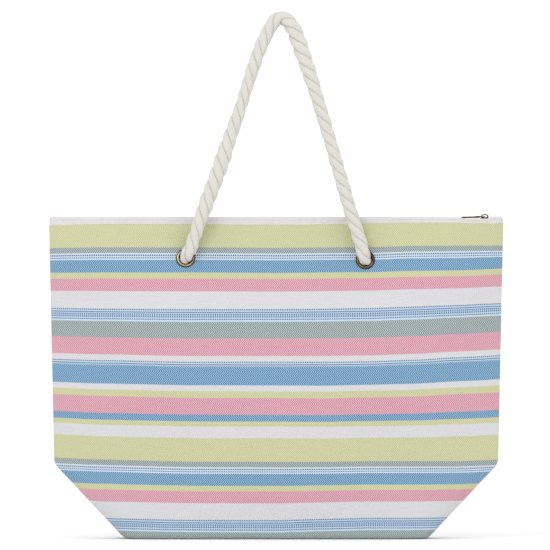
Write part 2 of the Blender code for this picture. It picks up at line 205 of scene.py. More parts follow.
class Look:
    """A node material in the making."""

    def __init__(self, name):
        self.material = bpy.data.materials.new(name)
        self.material.use_nodes = True
        self.tree = self.material.node_tree
        self.shader = self.tree.nodes["Principled BSDF"].inputs

    def feed(self, socket, value):
        if isinstance(value, Value):
            self.tree.links.new(value.socket, socket)
        else:
            socket.default_value = (*value, 1) if isinstance(value, tuple) and len(value) == 3 else value

    def node(self, kind, output, inputs=None, **settings):
        """What a new node gives at one of its outputs, from settings and inputs by name or number."""
        made = self.tree.nodes.new(kind)
        for key, value in settings.items():
            setattr(made, key, value)
        for key, value in (inputs or {}).items():
            self.feed(made.inputs[key], value)
        return Value(self, made.outputs[output])

    def sum(self, operation, *values, clamp=False):
        return self.node("ShaderNodeMath", 0, dict(enumerate(values)), operation=operation, use_clamp=clamp)

    def sine(self, value, turns=1):
        """A wave that repeats that many times for each 1 of the value."""
        return self.sum("SINE", value * (2 * math.pi * turns))

    def parts(self, value):
        """The three parts of a vector or a colour."""
        split = self.tree.nodes.new("ShaderNodeSeparateXYZ")
        self.feed(split.inputs[0], value)
        return [Value(self, socket) for socket in split.outputs]

    def attribute(self, name):
        """The three parts of a point attribute."""
        return self.parts(self.node("ShaderNodeAttribute", "Vector", attribute_name=name))

    def vector(self, x, y, z=0.0):
        return self.node("ShaderNodeCombineXYZ", 0, {0: x, 1: y, 2: z})

    def place(self):
        return self.node("ShaderNodeTexCoord", "Object")

    def noise(self, vector, scale=1.0, detail=2.0, roughness=0.5):
        inputs = {"Vector": vector, "Scale": scale, "Detail": detail, "Roughness": roughness}
        return self.node("ShaderNodeTexNoise", "Fac", inputs)

    def spread(self, value, low, high, to_low=0.0, to_high=1.0):
        """A value from low to high taken to to_low to to_high, and held there beyond."""
        inputs = {"Value": value, "From Min": low, "From Max": high, "To Min": to_low, "To Max": to_high}
        return self.node("ShaderNodeMapRange", "Result", inputs, interpolation_type="LINEAR", clamp=True)

    def mix(self, share, a, b, blend="MIX"):
        return self.node("ShaderNodeMix", 2, {0: share, 6: a, 7: b}, data_type="RGBA", blend_type=blend)

    def ramp(self, value, stops, interpolation="LINEAR"):
        made = self.tree.nodes.new("ShaderNodeValToRGB")
        self.feed(made.inputs["Fac"], value)
        ramp = made.color_ramp
        ramp.interpolation = interpolation
        while len(ramp.elements) < len(stops):
            ramp.elements.new(1.0)
        for element, (position, colour) in zip(ramp.elements, stops):
            element.position = position
            element.color = (*colour, 1)
        return Value(self, made.outputs["Color"])

    def bump(self, height, distance, strength=1.0):
        inputs = {"Strength": strength, "Distance": distance, "Height": height}
        self.feed(self.shader["Normal"], self.node("ShaderNodeBump", "Normal", inputs))

    def finish(self, colour, roughness, metallic=0.0, sheen=0.0, sheen_roughness=0.5, specular=0.5):
        values = {
            "Base Color": colour, "Roughness": roughness, "Metallic": metallic, "Sheen Weight": sheen,
            "Sheen Roughness": sheen_roughness, "Specular IOR Level": specular,
        }  # fmt: skip
        for name, value in values.items():
            self.feed(self.shader[name], value)
        return self.material


# Kinds of stripe: the light yarn, the dark yarn, and 0 for herringbone, 1 for two rows of dots or 2 for rows
# of dots with a line between
WHITE = ((227, 226, 228), (216, 215, 218), 0)
GREEN = ((219, 221, 182), (198, 197, 147), 0)
GREY = ((199, 210, 210), (107, 121, 121), 0)
BLUE = ((166, 204, 228), (54, 108, 157), 0)
PINK = ((239, 197, 207), (201, 123, 147), 0)
DASHED = ((216, 230, 244), (66, 104, 150), 1)
SKY = ((204, 225, 242), (66, 104, 150), 2)
# One repeat of the stripes from the hem down: (height in mm, kind)
STRIPES = (
    (30.3, GREEN), (7.3, GREY), (8.1, DASHED), (15.4, BLUE), (7.5, GREEN), (15.6, PINK), (22.0, WHITE),
    (16.2, SKY), (21.1, GREY), (21.9, PINK), (6.5, WHITE), (6.7, SKY), (23.5, BLUE), (7.4, WHITE),
    (7.5, GREEN), (21.8, PINK), (7.4, BLUE), (7.2, GREEN), (14.8, WHITE),
)  # fmt: skip
REPEAT = sum(height for height, _ in STRIPES)
# Rows of dots from a stripe's top down: (mm, share of dark yarn in the dots, share of dark yarn all along)
TWO_ROWS = (
    (0.0, 0.0, 0.0), (1.8, 0.0, 0.0), (2.2, 0.95, 0.2), (3.8, 0.95, 0.2), (4.2, 0.0, 0.0), (5.2, 0.0, 0.0),
    (5.6, 1.0, 0.3), (6.6, 1.0, 0.3), (7.0, 0.0, 0.0), (8.1, 0.0, 0.0),
)  # fmt: skip
LINE_AND_ROWS = (
    (0.0, 0.0, 0.0), (0.6, 0.3, 0.0), (1.0, 0.95, 0.25), (2.2, 0.95, 0.25), (2.7, 0.0, 0.0), (3.7, 0.0, 0.0),
    (4.1, 0.0, 0.85), (5.1, 0.0, 0.85), (5.5, 0.0, 0.0), (6.2, 0.0, 0.0), (6.6, 0.95, 0.15), (7.9, 0.95, 0.15),
    (8.3, 0.55, 0.1), (9.5, 0.55, 0.1), (9.9, 0.95, 0.2), (11.2, 0.95, 0.2), (11.6, 0.0, 0.0), (12.6, 0.0, 0.0),
    (13.0, 1.0, 0.3), (14.1, 1.0, 0.3), (14.5, 0.0, 0.0), (16.2, 0.0, 0.0),
)  # fmt: skip
RIB = 2.8  # the weave's repeat across the cloth, in mm
CHEVRON = 5.0  # from one reversal of the herringbone to the next, in mm
SERRATION = 0.5  # how steeply a stripe's edge climbs and falls with each rib
WANDER = 0.9  # how far a stripe wanders from its line, in mm
THREAD = 0.9 * MM  # between threads of the lining
TAPE_RIB, TAPE_WEFT = 1.1 * MM, 0.8 * MM


def striped_canvas():
    """Stripes that run round the bag, woven as herringbone of a light and a dark yarn."""
    look = Look("striped_canvas")
    across, up, _ = look.attribute("cloth")
    u, v = across * 1000, up * 1000
    slow = look.noise(look.vector(across, up), 9.0)
    serration = (look.sum("PINGPONG", u, RIB / 2) - RIB / 4) * SERRATION
    # the hem carries the first stripe over the top, so it counts the same up as down
    down = look.sum("ABSOLUTE", HEM_Z * 1000 - (v + (serration + (slow - 0.5) * WANDER)))
    place = look.sum("FRACT", down / REPEAT)
    starts = np.cumsum([0.0] + [height for height, _ in STRIPES[:-1]]) / REPEAT
    stops = list(zip(starts, (kind for _, kind in STRIPES)))
    light = look.ramp(place, [(at, dye(kind[0])) for at, kind in stops], "CONSTANT")
    dark = look.ramp(place, [(at, dye(kind[1])) for at, kind in stops], "CONSTANT")
    marks = look.ramp(place, [(at, (at, kind[2] == 1, kind[2] == 2)) for at, kind in stops], "CONSTANT")
    start, two_rows, line_and_rows = look.parts(marks)
    rib = look.sine((u + look.sum("PINGPONG", v, CHEVRON)) / RIB)
    inside = (place - start) * REPEAT
    dot = look.spread(look.sum("COSINE", u / RIB * (2 * math.pi)), -0.75, 0.15)
    pattern = look.spread(rib, -0.55, 0.55) * (1.0 - two_rows - line_and_rows)
    for chosen, table in ((two_rows, TWO_ROWS), (line_and_rows, LINE_AND_ROWS)):
        deepest = table[-1][0]
        stops = [(at / deepest, (dots, line, 0)) for at, dots, line in table]
        dots, line, _ = look.parts(look.ramp(inside / deepest, stops))
        pattern = pattern + look.sum("MAXIMUM", dots * dot, line) * chosen
    slubs = look.noise(look.vector(across * 40, up * 900), detail=3.0)
    fine = look.noise(look.vector(across * 1400, up * 1400))
    tone = look.spread(slubs, 0.25, 0.75, 0.955, 1.03) + look.spread(slow, 0.3, 0.7, -0.012, 0.012)
    tone = tone * look.spread(fine, 0.2, 0.8, 0.95, 1.04)
    look.bump(rib * 0.35 + fine * 0.9 + slubs * 0.5, 0.22 * MM, 0.7)
    colour = look.mix(1.0, look.mix(pattern, light, dark), look.vector(tone, tone, tone), "MULTIPLY")
    return look.finish(colour, look.spread(fine, 0.2, 0.8, 0.82, 0.95), sheen=0.12, specular=0.25)


def lining_cloth():
    """Plain woven cotton."""
    look = Look("lining_cotton")
    across, up, _ = look.attribute("cloth")
    look.bump(look.sine(across, 1 / THREAD) * look.sine(up, 1 / THREAD), 0.12 * MM)
    slow = look.noise(look.vector(across, up), 14.0)
    colour = look.mix(slow, dye((214, 209, 196)), dye((226, 222, 212)))
    return look.finish(colour, 0.9, sheen=0.1, specular=0.2)


def tape_cloth():
    """The zip's tape: fine white ribs along it, crossed by its weft."""
    look = Look("zip_tape_cloth")
    across, up, _ = look.attribute("cloth")
    rib, weft = look.sine(up, 1 / TAPE_RIB), look.sine(across, 1 / TAPE_WEFT)
    slow = look.noise(look.vector(across * 30, up * 60))
    base = look.mix(look.spread(slow, 0.3, 0.7), dye((225, 224, 223)), dye((235, 233, 233)))
    look.bump(rib + weft * 0.4, 0.06 * MM)
    colour = look.mix(look.spread(rib, -1.0, 1.0, 0.0, 0.35), base, dye((212, 211, 210)))
    return look.finish(colour, 0.85, sheen=0.1, specular=0.25)


def coil_plastic():
    """White nylon, a little dusty."""
    look = Look("zip_coil_nylon")
    dust = look.noise(look.place(), 300.0)
    look.bump(dust, 0.03 * MM)
    colour = look.mix(dust, dye((206, 206, 208)), dye((224, 224, 226)))
    return look.finish(colour, look.spread(dust, 0.3, 0.7, 0.35, 0.5))


# From patina in the hollows to a painted highlight on what stands out
BRASS_TONES = [
    (0.0, linear((44, 35, 23))), (0.35, linear((86, 70, 45))), (0.7, linear((148, 125, 86))),
    (1.0, linear((203, 180, 138))),
]  # fmt: skip


def antique_brass():
    """Brass with a dark patina in its hollows and a painted highlight on what stands out, both given by a point
    attribute.
    """
    look = Look("antique_brass_finish")
    patina_and_highlight, _, _ = look.attribute("patina_and_highlight")
    where = look.place()
    cloud, grain = look.noise(where, 420.0, 4.0, 0.6), look.noise(where, 2600.0)
    share = look.sum("ADD", patina_and_highlight, look.spread(cloud, 0.3, 0.7, -0.16, 0.16), clamp=True)
    look.bump(cloud * 0.6 + grain * 0.4, 0.06 * MM, 0.6)
    return look.finish(look.ramp(share, BRASS_TONES), look.spread(share, 0.0, 1.0, 0.55, 0.32), metallic=1.0)


YARNS = 11  # across the part of a strand that shows
YARN_TURNS = 45.0  # yarns passed in a metre of rope


def cotton_rope():
    """Laid cotton, with painted shade in the grooves between strands. The attribute lay holds the turn round a
    strand, the distance along and the depth.
    """
    look = Look("cotton_rope_fibres")
    around, along, groove = look.attribute("lay")
    fibre = look.noise(look.vector(around * 30.0, along * 120), 1.0, 4.0, 0.6)
    tuft = look.noise(look.vector(around * 1.2, along * 55, 3.0))
    # the yarns of a strand run round it a little, the other way from the lay
    yarn = look.sine(around * YARNS + along * YARN_TURNS)
    light = look.mix(look.spread(fibre, 0.3, 0.7), dye((222, 219, 211)), dye((237, 235, 230)))
    light = look.mix(look.spread(tuft, 0.35, 0.7, 0.0, 0.25), light, dye((218, 212, 198)))
    light = look.mix(look.spread(yarn, 0.0, -1.0, 0.0, 0.10), light, dye((200, 192, 174)))
    # painted shade: darker where the skin lies deep in the groove between two strands
    colour = look.mix(look.spread(groove, 0.25, 1.0, 0.0, 0.55), light, dye((204, 194, 176)))
    look.bump(fibre * 0.6 + tuft * 0.5 + yarn * 0.22, 0.5 * MM, 0.7)
    return look.finish(colour, 0.95, sheen=0.25, sheen_roughness=0.6, specular=0.15)


CANVAS_LOOK = striped_canvas()
LINING_LOOK = lining_cloth()
TAPE_LOOK = tape_cloth()
COIL_LOOK = coil_plastic()
BRASS_LOOK = antique_brass()
ROPE_LOOK = cotton_rope()


# Meshes


def new_object(name, points, faces, look, attributes=None, sharp_deg=50):
    """A mesh piece from points and faces, with point attributes of three numbers each."""
    mesh = bpy.data.meshes.new(name)
    mesh.from_pydata(np.asarray(points, float).tolist(), [], faces)
    for key, values in (attributes or {}).items():
        made = mesh.attributes.new(key, "FLOAT_VECTOR", "POINT")
        made.data.foreach_set("vector", np.asarray(values, np.float32).ravel())
    mesh.materials.append(look)
    mesh.shade_smooth()
    mesh.set_sharp_from_angle(angle=math.radians(sharp_deg))
    obj = bpy.data.objects.new(name, mesh)
    bpy.context.scene.collection.objects.link(obj)
    return obj


def stands_in(obj, body, node):
    """Puts a piece on its body, in place of the CAD node."""
    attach(obj, body)
    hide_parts(node)


def grid_faces(rows, columns, around=False, flip=False):
    """Quads between rows of points. around joins each row's last point to its first."""
    across = np.arange(columns if around else columns - 1)
    i, j = np.meshgrid(np.arange(rows - 1), across, indexing="ij")
    k = (j + 1) % columns
    quads = np.stack([i * columns + j, i * columns + k, (i + 1) * columns + k, (i + 1) * columns + j], -1)
    quads = quads.reshape(-1, 4)
    return (quads[:, ::-1] if flip else quads).tolist()


def thickened(obj, thickness, sharp_deg=50):
    """The piece with an inner side that much inside it, and closed rims."""
    modifier = obj.modifiers.new("thickness", "SOLIDIFY")
    modifier.thickness = thickness
    modifier.offset = -1
    modifier.use_quality_normals = True
    return applied(obj, sharp_deg)


def applied(obj, sharp_deg=50):
    """The same piece with its modifiers applied."""
    graph = bpy.context.evaluated_depsgraph_get()
    mesh = bpy.data.meshes.new_from_object(obj.evaluated_get(graph))
    obj.modifiers.clear()
    old, obj.data = obj.data, mesh
    bpy.data.meshes.remove(old)
    mesh.name = obj.name
    mesh.shade_smooth()
    mesh.set_sharp_from_angle(angle=math.radians(sharp_deg))
    return obj


def smooth_line(points, spacing):
    """Points at even distances along a smooth curve through the given ones."""
    p = np.asarray(points, float)
    p = np.vstack([2 * p[0] - p[1], p, 2 * p[-1] - p[-2]])
    fine = []
    for a, b, c, d in zip(p, p[1:], p[2:], p[3:]):
        for t in np.linspace(0, 1, 24, endpoint=False):
            square, cube = 2 * a - 5 * b + 4 * c - d, 3 * b - a - 3 * c + d
            fine.append(0.5 * (2 * b + (c - a) * t + square * t**2 + cube * t**3))
    fine = np.array([*fine, p[-2]])
    run = np.concatenate([[0], np.cumsum(np.linalg.norm(np.diff(fine, axis=0), axis=1))])
    at = np.linspace(0, run[-1], max(int(run[-1] / spacing), 2) + 1)
    return np.stack([np.interp(at, run, fine[:, k]) for k in range(3)], -1), at


def frames_along(line, first):
    """At each point of a line, its direction and two directions across it that don't spin."""
    tangents = np.gradient(line, axis=0)
    tangents /= np.linalg.norm(tangents, axis=1)[:, None]
    normals = []
    normal = np.array(first, float)
    for tangent in tangents:
        normal = normal - tangent * (normal @ tangent)
        normal = normal / np.linalg.norm(normal)
        normals.append(normal)
    normals = np.array(normals)
    return tangents, normals, np.cross(tangents, normals)


# The canvas and its lining

# How far the hem's edge lies above its nominal height, as (x, rise in mm)
HEM_WAVE = (
    (-0.277, -2.2), (-0.246, -1.0), (-0.216, -0.5), (-0.110, -0.5), (-0.060, -1.2), (0.025, -1.2), (0.070, -0.7),
    (0.130, 0.3), (0.160, 1.0), (0.221, 1.0), (0.264, 0.6), (0.272, -0.5), (0.281, 0.5),
)  # fmt: skip
HEM_WAVE_REACH = 0.030
# How far the stripes climb, in mm, at heights going down, from the left seam to the right one
RISE_X = (-0.285, -0.216, -0.106, 0.0, 0.060, 0.115, 0.171, 0.226, 0.285)
RISE = (
    (0.385, (-0.6, 0.9, 0.3, 0.0, 0.3, 0.6, 2.5, 2.5, 1.5)),
    (0.334, (0.0, 0.6, 0.6, 0.0, 0.6, 0.9, 2.8, 3.1, 5.5)),
    (0.290, (1.6, 0.6, 0.1, 0.0, 0.5, 1.4, 3.2, 5.2, 7.8)),
    (0.224, (3.8, 2.0, 0.0, 0.0, 0.0, 0.7, 2.6, 5.6, 8.2)),
    (0.180, (4.6, 2.4, 0.1, 0.0, -0.5, 0.6, 1.7, 4.7, 6.8)),
    (0.136, (4.4, 1.9, 0.0, 0.0, -0.3, 0.3, 0.9, 2.2, 4.0)),
    (0.100, (4.6, 2.5, 0.3, 0.0, 0.0, 0.9, 0.4, 0.2, 2.0)),
    (0.030, (4.0, 2.2, 0.5, 0.0, 1.6, 2.9, 3.0, 3.2, 4.0)),
)  # fmt: skip
BASE_CLIMB = 4.8 * MM  # more of the cloth goes into the belly above the base
BASE_CLIMB_TOP = 0.130
CLOTH_DROP = 0.6 * MM  # how far the cloth hangs down below the eyelets
CLOTH_DROP_FROM, CLOTH_DROP_TO = 0.360, 0.300

FLOOR_ROWS = 13  # from the bottom seam out to the turn into the wall
TURN_ROWS = 6  # round that turn
WALL_START = FLOOR_ROWS + TURN_ROWS + 1
WALL_STEP = 3.2 * MM
FLOOR_FADE = 0.020  # a raised floor's lift ends at this height on the wall
HEM_DROPS = (6 * MM, 13 * MM, 20 * MM)  # rows of the hem's inner ply, down from its fold
HEM_STEPS = 6  # round the fold
SEAM_PINCH = 3.0 * MM  # nearer than this to the middle there is no inner ply
SEAM_DRAW, SEAM_REACH = 1.1 * MM, 2.2 * MM  # the groove up each side seam

# What the cloth does between the places that hold it. Heights and depths are in mm, and the rest in metres.
HILLS = ((0.21, 1.2), (0.09, 0.45))  # (size, height)
HEM_HOLD, BASE_HOLD, EYELET_HOLD = 0.05, 0.04, 0.035  # how far the hem, the base and an eyelet hold it flat
HEM_GIVE = 0.12  # the share of the hills that reaches the hem
HOLLOW, HOLLOW_Z, HOLLOW_REACH = 1.6, 0.175, 0.075
CREASE, CREASE_X, CREASE_HALF_WIDTH = 0.9, 0.262, 0.010  # from each knee down to the edge of the base
CREASE_ACROSS = (-0.79, 0.62)  # the direction across it, in x and z
CREASE_START, CREASE_FADE, CREASE_TOP = 0.13, 0.06, KNEE_Z + 0.03
SEAM_SHARE = 0.06  # of half the panel, beside the seam
PUCKER, PUCKER_PITCH = 0.35, 0.0115

# The lining: how far it is inside the canvas at the seams, faces and floor, its top and its rows' step
LINING_FORM = {"side": 9 * MM, "face": 2.2 * MM, "floor": 2.2 * MM, "top": 0.380, "step": 4.5 * MM}
EYELET_HOLE = 9.0 * MM
HOLE_REACH = 12 * MM  # faces up to this far off an eyelet's plane and past its hole belong to it


def ease(value, low, high):
    """0 below low, 1 above high, smooth between."""
    t = np.clip((np.asarray(value, float) - low) / (high - low), 0, 1)
    return t * t * (3 - 2 * t)


def smooth_interp(value, stations, values):
    """Values between stations, level at each of them."""
    stations, values = np.asarray(stations, float), np.asarray(values, float)
    k = np.clip(np.searchsorted(stations, value) - 1, 0, len(stations) - 2)
    t = np.clip((value - stations[k]) / (stations[k + 1] - stations[k]), 0, 1)
    t = 0.5 * t + 0.5 * t * t * (3 - 2 * t)
    return values[k] * (1 - t) + values[k + 1] * t


def hem_wave(x):
    """How far the hem's edge lies above its nominal height at x."""
    return smooth_interp(x, [row[0] for row in HEM_WAVE], [row[1] for row in HEM_WAVE]) * MM


def stripe_rise(x, z):
    """How much higher than on flat cloth a stripe lies at each x, at the height z."""
    heights = [row[0] for row in RISE][::-1]
    across = [smooth_interp(z, heights, [row[1][k] for row in RISE][::-1]) for k in range(len(RISE_X))]
    climb = BASE_CLIMB * (1 - ease(z, 0, BASE_CLIMB_TOP))
    drop = CLOTH_DROP * (1 - ease(z, CLOTH_DROP_TO, CLOTH_DROP_FROM))
    return smooth_interp(x, RISE_X, across) * MM + climb - drop


def waves(x, z, seed, scale):
    """Soft random hills between about -1 and 1, of the given size in metres."""
    draw = np.random.default_rng(seed)
    total = np.zeros(np.broadcast(x, z).shape)
    for _ in range(9):
        angle, phase = draw.uniform(0, 2 * math.pi, 2)
        size = scale * draw.uniform(0.7, 1.5)
        total += np.sin(2 * math.pi * (x * math.cos(angle) + z * math.sin(angle)) / size + phase)
    return total / 4


def near_eyelet(x, z, reach):
    """1 on an eyelet, falling to 0 at that distance from it."""
    away = np.minimum(*(np.hypot(x - end * EYELET_X, z - EYELET_Z) for end in (-1, 1)))
    return np.clip(1 - away / reach, 0, 1) ** 2


def slack(x, z, share, seed):
    """How far the cloth stands out from its smooth form, in metres, less where it is held."""
    wide = sum(waves(x, z, seed + k, size) * height for k, (size, height) in enumerate(HILLS))
    held = np.clip((HEM_Z - z) / HEM_HOLD, HEM_GIVE, 1) * np.clip(z / BASE_HOLD, 0, 1)
    middle = -HOLLOW * np.exp(-(((z - HOLLOW_Z) / HOLLOW_REACH) ** 2)) * np.clip(1 - share**2, 0, 1)
    crease = 0.0
    for side in (-1, 1):
        off = (z - KNEE_Z) * CREASE_ACROSS[1] + (side * x - CREASE_X) * CREASE_ACROSS[0]
        fade = np.clip((side * x - CREASE_START) / CREASE_FADE, 0, 1) * (z < CREASE_TOP)
        crease = crease + CREASE * np.exp(-((off / CREASE_HALF_WIDTH) ** 2)) * fade
    seam = np.clip(1 - (1 - np.abs(share)) / SEAM_SHARE, 0, 1)
    pucker = PUCKER * seam * np.sin(2 * math.pi * z / PUCKER_PITCH + 1.3 * np.sin(z * 90))
    total = (wide + middle) * held * (1 - seam) + (crease + pucker) * np.clip(z / 0.03, 0, 1)
    return total * (1 - near_eyelet(x, z, EYELET_HOLD)) * MM


def panel_rows(sign, seed, side=0.0, face=0.0, floor=0.0, top=HEM_Z, step=WALL_STEP):
    """One panel's rows of points, from the bottom seam to its top, and each point's place on the cloth."""
    edge_x, edge_y, _ = level_section(0.0, side, face)
    share = np.linspace(-1, 1, COLUMNS + 1)
    rows, cloth = [], []
    for k in np.linspace(0, 1, FLOOR_ROWS + 1)[:-1]:
        x, y = (1 - k) * share * edge_x[-1] + k * edge_x, k * edge_y
        rows.append((x, y, np.full_like(x, floor)))
        cloth.append((x, edge_y * (1 - k) - k * stripe_rise(edge_x, 0.0)))
    turn = [FLOOR_ROUND * (1 - math.cos(a)) for a in np.radians(np.linspace(0, 90, TURN_ROWS + 1)[:-1])]
    for z in (*turn, *np.arange(FLOOR_ROUND, top, step), top):
        x, y, u = level_section(z, side, face)
        lifted = hem_wave(x) * ease(z, HEM_Z - HEM_WAVE_REACH, HEM_Z)
        rows.append((x, y, z + lifted + floor * max(1 - z / FLOOR_FADE, 0)))
        cloth.append((u, z + lifted - stripe_rise(x, z)))
    points = np.array([np.stack(row, -1) for row in rows])
    place = np.array([np.stack([u, v, np.zeros_like(u)], -1) for u, v in cloth])
    points[..., 1] -= slack(points[..., 0], points[..., 2], share[None, :], seed)
    # The seam draws both edges in, so a groove runs up each side
    reach = half_width(KNEE_Z) * (1 - np.abs(share))
    points[..., 0] *= 1 + WIDER / HEM_HALF_WIDTH
    points[..., 0] -= np.sign(share) * SEAM_DRAW * np.exp(-reach / SEAM_REACH)
    points[..., 1] = np.minimum(points[..., 1], -OWN_SIDE)
    points[..., 1] *= -sign
    return points, place


def with_hem(points, place, sign):
    """The panel's rows carried over the top and down inside, as its hem, and which points to leave out: at
    the seams the two panels meet and no ply fits between them."""
    along = np.gradient(points, axis=1)
    inward = np.stack([along[..., 1], -along[..., 0], np.zeros(along.shape[:2])], -1) * sign
    inward /= np.linalg.norm(inward, axis=-1)[..., None]
    rows, cloth = [points[:-1]], [place[:-1]]
    fold = points[-1] - np.array([0, 0, HEM_FOLD])
    for angle in np.linspace(0, math.pi, HEM_STEPS + 1):
        turned = inward[-1] * HEM_FOLD * (1 - math.cos(angle)) + np.array([0, 0, HEM_FOLD * math.sin(angle)])
        rows.append((fold + turned)[None])
        cloth.append((place[-1] + np.array([0, HEM_FOLD * angle, 0]))[None])
    heights = points[WALL_START:, 0, 2]
    for drop in HEM_DROPS:
        # the ply inside lies against the panel
        level = np.interp(points[-1, 0, 2] - HEM_FOLD - drop, heights, np.arange(WALL_START, len(points)))
        low, part = int(level), level - int(level)
        high = min(low + 1, len(points) - 1)
        wall = points[low] * (1 - part) + points[high] * part
        rows.append((wall + inward[low] * 2 * HEM_FOLD)[None])
        cloth.append((place[-1] + np.array([0, HEM_FOLD * math.pi + drop, 0]))[None])
    rows, cloth = np.concatenate(rows), np.concatenate(cloth)
    spare = np.zeros(rows.shape[:2], bool)
    spare[len(points) + HEM_STEPS // 2 :] = np.abs(points[-1, :, 1]) < SEAM_PINCH
    rows[..., 1] = np.where(rows[..., 1] * sign < OWN_SIDE, sign * OWN_SIDE, rows[..., 1])
    return rows, cloth, spare


def cloth_panel(name, side, points, place, look, thickness, spare=None):
    """One panel with its holes for the eyelets, their edges drawn exactly round."""
    sign = SIDES[side]
    rows, columns = points.shape[:2]
    flat, cloth = points.reshape(-1, 3).copy(), place.reshape(-1, 3).copy()
    faces = np.array(grid_faces(rows, columns, flip=sign > 0))
    inside = np.zeros(len(flat), bool) if spare is None else spare.reshape(-1).copy()
    rims = []
    for end in ENDS:
        centre, normal = (np.array(v) for v in eyelet_frame(side, end))
        away = flat - centre
        level = (away @ normal)[:, None] * normal
        radial = away - level
        distance = np.linalg.norm(radial, axis=1)
        close = np.abs(away @ normal) < HOLE_REACH
        inside |= close & (distance < EYELET_HOLE)
        rims.append((centre, level, radial, distance, close))
    cut = inside[faces].any(axis=1)
    kept = faces[~cut]
    used, border = np.zeros(len(flat), bool), np.zeros(len(flat), bool)
    used[kept] = True
    border[faces[cut]] = True
    border &= used
    for centre, level, radial, distance, close in rims:
        mine = border & close & (distance < EYELET_HOLE + HOLE_REACH)
        drawn = centre + level[mine] + radial[mine] * (EYELET_HOLE / distance[mine])[:, None]
        # the cloth goes with the edge, so its pattern isn't pulled
        cloth[mine, :2] += (drawn - flat[mine])[:, [0, 2]]
        flat[mine] = drawn
    index = np.cumsum(used) - 1
    obj = new_object(name, flat[used], index[kept].tolist(), look, {"cloth": cloth[used]})
    thickened(obj, thickness)
    co = np.zeros(len(obj.data.vertices) * 3, np.float32)
    obj.data.vertices.foreach_get("co", co)
    co = co.reshape(-1, 3)
    co[:, 1] = np.where(co[:, 1] * sign < INNER_SIDE, sign * INNER_SIDE, co[:, 1])
    co[:, 2] = np.maximum(co[:, 2], 0)
    obj.data.vertices.foreach_set("co", co.ravel())
    return obj


def canvas_panels():
    made = []
    for side, sign in SIDES.items():
        points, place, spare = with_hem(*panel_rows(sign, SEED + sign), sign)
        obj = cloth_panel(f"canvas_{side}", side, points, place, CANVAS_LOOK, CANVAS, spare)
        stands_in(obj, "bag", f"outer_{side}")
        made.append(obj)
    return made


def lining_panels():
    for side, sign in SIDES.items():
        points, place = panel_rows(sign, SEED + sign, **LINING_FORM)
        obj = cloth_panel(f"lining_cloth_{side}", side, points, place, LINING_LOOK, LINING)
        stands_in(obj, "bag", f"lining_{side}")


# The rope handles and the knots that end them

LAY = 52 * MM  # one whole turn of the three strands
ROPE_STEP = 1.4 * MM
APEX_Y = 9.0 * MM
HANDLE_PIVOT = next(Vector(j["pos_m"]) for j in frame["joints"] if j["name"] == "front_handle_swing")
# The middle of a handle's rope from eyelet to eyelet, as (x, z), where the CAD arch is
HANDLE_ROUTE = (
    (-0.1065, 0.366), (-0.0925, 0.407), (-0.0770, 0.448), (-0.0625, 0.490),
    (-0.0475, 0.533), (-0.0335, 0.577), (-0.0215, 0.612), (-0.0100, 0.637), (-0.0025, 0.6485),
    (0.0065, 0.6535), (0.0155, 0.6485), (0.0230, 0.637), (0.0320, 0.612), (0.0440, 0.577),
    (0.0575, 0.533), (0.0705, 0.490), (0.0825, 0.448), (0.0945, 0.407), (0.1070, 0.366),
)  # fmt: skip
# The way out of an eyelet, as (out along its axis, towards the middle of the bag, up), in mm, and the last
# point's distance towards the middle and its height
EYELET_BEND = ((-4.0, 0.0, 0.0), (1.0, 0.0, 0.0), (5.6, 0.9, 1.6))
BEND_END_IN, BEND_END_Z = 3.4 * MM, 0.3590
# The rope's radius in mm along it from an eyelet: pinched there, and a little thicker just above
NECK_AT, NECK_RADII = (0, 6 * MM, 16 * MM, 26 * MM, 60 * MM), (7.3, 7.6, 8.5, 8.5, 8.0)
# How much thicker than laid the worn rope is, at shares of its length from the left eyelet
ROPE_SWELL = {
    "front": (
        (0.0, 1.0), (0.07, 1.0), (0.12, 1.2), (0.21, 1.26), (0.28, 1.06), (0.33, 0.91), (0.39, 1.06), (0.46, 1.06),
        (0.50, 1.12), (0.55, 1.28), (0.61, 1.2), (0.67, 1.04), (0.79, 1.0), (0.86, 1.05), (1.0, 1.0),
    ),
    "back": ((0.0, 1.0), (0.2, 1.06), (0.35, 0.97), (0.55, 1.1), (0.75, 1.0), (0.9, 1.05), (1.0, 1.0)),
}  # fmt: skip
ROPE_PHASE = {"front": 0.6, "back": 2.0}

STRAND_POINTS = 20  # round the outside of one strand
STRAND, STRAND_OFFSET = 0.70, 0.31  # a strand's radius and its middle's distance out, in rope radii
GROOVE, GROOVE_WIDTH = 0.10, 0.17  # between two strands: depth in rope radii, half width in radians
SWELL, SWELL_LENGTHS = 0.012, (0.031, 0.047, 0.083)  # each strand's unevenness, in rope radii and metres
END_DOME = 1.5 * MM

KNOT_CENTRE_Y = 13.0 * MM
KNOT_CENTRE_Z = 0.326
KNOT_HALF_SIZE = Vector((11.0, 4.3, 10.0)) * MM  # of the rope's middle line
KNOT_OPEN = 0.5  # radians left out of the knot's curve at each end
KNOT_NECK = (4.3 * MM, 9 * MM)  # points on the way in, from the canvas
KNOT_TURN = (1 * MM, 11.0 * MM, 0.3455)  # where the rope turns down into its knot
TAIL = ((-14.5 * MM, 0.327), (-11.0 * MM, 0.310))
TAIL_END_X, TAIL_END_LIFT = -7.0 * MM, 2 * MM
KNOT_STEP, KNOT_PHASE = 1.6 * MM, 0.4


